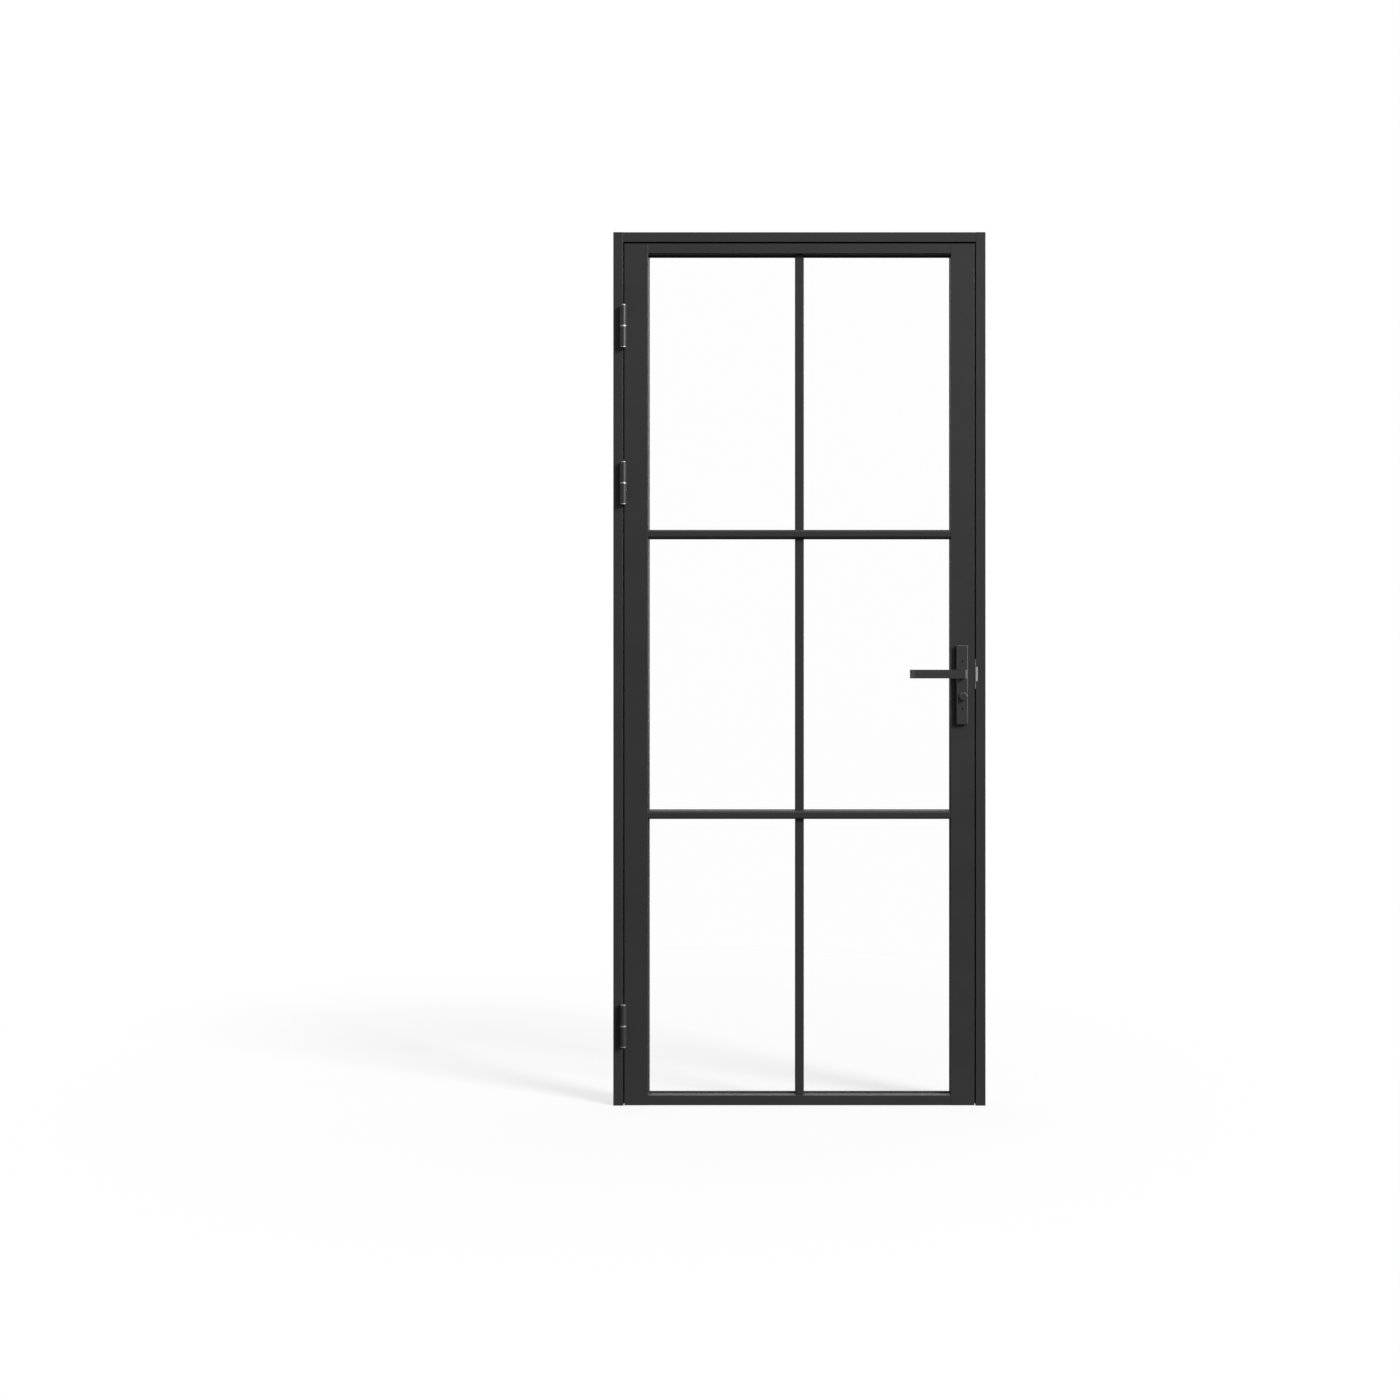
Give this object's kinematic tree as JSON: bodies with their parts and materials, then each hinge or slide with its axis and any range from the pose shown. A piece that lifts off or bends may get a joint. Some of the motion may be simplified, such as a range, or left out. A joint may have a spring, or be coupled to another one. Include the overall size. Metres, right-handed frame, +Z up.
{
  "type": "glass door",
  "caption": "Glazed steel door leaf hung in its own slim steel frame, with thin glazing bars, barrel hinges, a lever handle on a tall narrow plate and a round thumb turn.",
  "frame": {"origin": "on the floor, half way across the frame and half way through the thickness of the leaf", "axes": "+X towards the lock side, +Y away from the side that shows the hinge barrels, +Z up"},
  "size_m": [0.91, 0.17, 2.135],
  "materials": {
    "painted_steel": "dark charcoal powder coat, satin, over drawn steel tube",
    "clear_glass": "clear toughened glass, 8 mm",
    "black_rubber": "black rubber",
    "brushed_steel": "brushed stainless steel",
    "zinc_plated_steel": "zinc plated steel, dull",
    "black_screw_steel": "blackened steel screws"
  },
  "bodies": {
    "frame": {"hinge_jamb": "painted_steel", "lock_jamb": "painted_steel", "frame_head": "painted_steel", "hinge_side_stop": "painted_steel", "lock_side_stop": "painted_steel", "head_stop": "painted_steel", "door_seal": "black_rubber", "strike_plate": "brushed_steel", "strike_screws": "black_screw_steel", "hinge_washers": "brushed_steel", "frame_knuckle_1": "painted_steel", "frame_knuckle_2": "painted_steel", "frame_knuckle_3": "painted_steel", "hinge_pin_1": "brushed_steel", "hinge_pin_2": "brushed_steel", "hinge_pin_3": "brushed_steel"},
    "leaf": {"hinge_stile": "painted_steel", "lock_stile": "painted_steel", "top_rail": "painted_steel", "bottom_rail": "painted_steel", "upper_cross_bar": "painted_steel", "lower_cross_bar": "painted_steel", "upright_bar_top": "painted_steel", "upright_bar_middle": "painted_steel", "upright_bar_bottom": "painted_steel", "beads_top_left": "painted_steel", "beads_top_right": "painted_steel", "beads_middle_left": "painted_steel", "beads_middle_right": "painted_steel", "beads_bottom_left": "painted_steel", "beads_bottom_right": "painted_steel", "leaf_knuckle_1": "painted_steel", "leaf_knuckle_2": "painted_steel", "leaf_knuckle_3": "painted_steel", "handle_plate_front": "painted_steel", "handle_plate_rear": "painted_steel", "glass_top_left": "clear_glass", "glass_top_right": "clear_glass", "glass_middle_left": "clear_glass", "glass_middle_right": "clear_glass", "glass_bottom_left": "clear_glass", "glass_bottom_right": "clear_glass", "glazing_gaskets": "black_rubber", "hinge_caps": "brushed_steel", "lock_forend": "brushed_steel", "lock_case": "zinc_plated_steel", "lock_cover": "zinc_plated_steel", "latch_spring": "zinc_plated_steel", "forend_screws": "black_screw_steel", "handle_bolts": "black_screw_steel"},
    "lever": {"lever_front": "painted_steel", "lever_rear": "painted_steel", "lever_spindle": "zinc_plated_steel", "follower": "zinc_plated_steel"},
    "turn": {"thumb_turn": "painted_steel", "release_disc": "painted_steel", "bolt_cam": "zinc_plated_steel"},
    "latch": {"latch_bolt": "brushed_steel"},
    "bolt": {"dead_bolt": "brushed_steel"}
  },
  "joints": [
    {"name": "leaf_swing", "type": "hinge", "parent": "frame", "child": "leaf", "pos_m": [-0.4295, -0.0335, 0], "axis": [0, 0, -1], "range_deg": [0, 170]},
    {"name": "lever_turn", "type": "hinge", "parent": "leaf", "child": "lever", "pos_m": [0.399, 0, 1.055], "axis": [0, -1, 0], "range_deg": [0, 45], "stiffness_Nm_per_rad": 1.2, "springref_deg": -45.84},
    {"name": "latch_slide", "type": "slide", "parent": "leaf", "child": "latch", "axis": [-1, 0, 0], "range_m": [0, 0.0115], "deforming": ["latch_spring"]},
    {"name": "thumb_turn_turn", "type": "hinge", "parent": "leaf", "child": "turn", "pos_m": [0.399, 0, 1], "axis": [0, 1, 0], "range_deg": [0, 90]},
    {"name": "dead_bolt_slide", "type": "slide", "parent": "leaf", "child": "bolt", "axis": [1, 0, 0], "range_m": [0, 0.014]}
  ],
  "couplings": [
    {"joint": "latch_slide", "follows": "lever_turn", "m_per_rad": 0.01464},
    {"joint": "dead_bolt_slide", "follows": "thumb_turn_turn", "m_per_rad": 0.008912}
  ]
}
